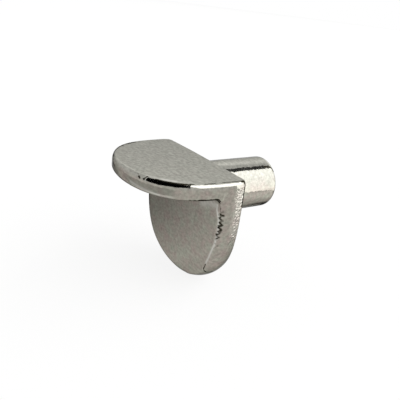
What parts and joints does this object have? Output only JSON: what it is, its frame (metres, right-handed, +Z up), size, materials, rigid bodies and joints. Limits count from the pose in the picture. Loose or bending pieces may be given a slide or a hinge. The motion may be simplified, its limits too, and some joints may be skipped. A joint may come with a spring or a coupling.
{
  "type": "shelf support pin",
  "caption": "Plug-in shelf support: a flat half-round plate and a wall tongue cast in one piece with a plain round pin.",
  "frame": {"origin": "on the pin's axis, in the wall face where the pin leaves the casting", "axes": "+Y along the pin towards its tip, +Z up to the shelf, +X across the width"},
  "size_m": [0.013, 0.0158, 0.011],
  "materials": {
    "nickel_plate": "bright nickel plating over the fine grain of a zinc die casting"
  },
  "bodies": {
    "root": {"shelf_pin": "nickel_plate"}
  },
  "joints": []
}
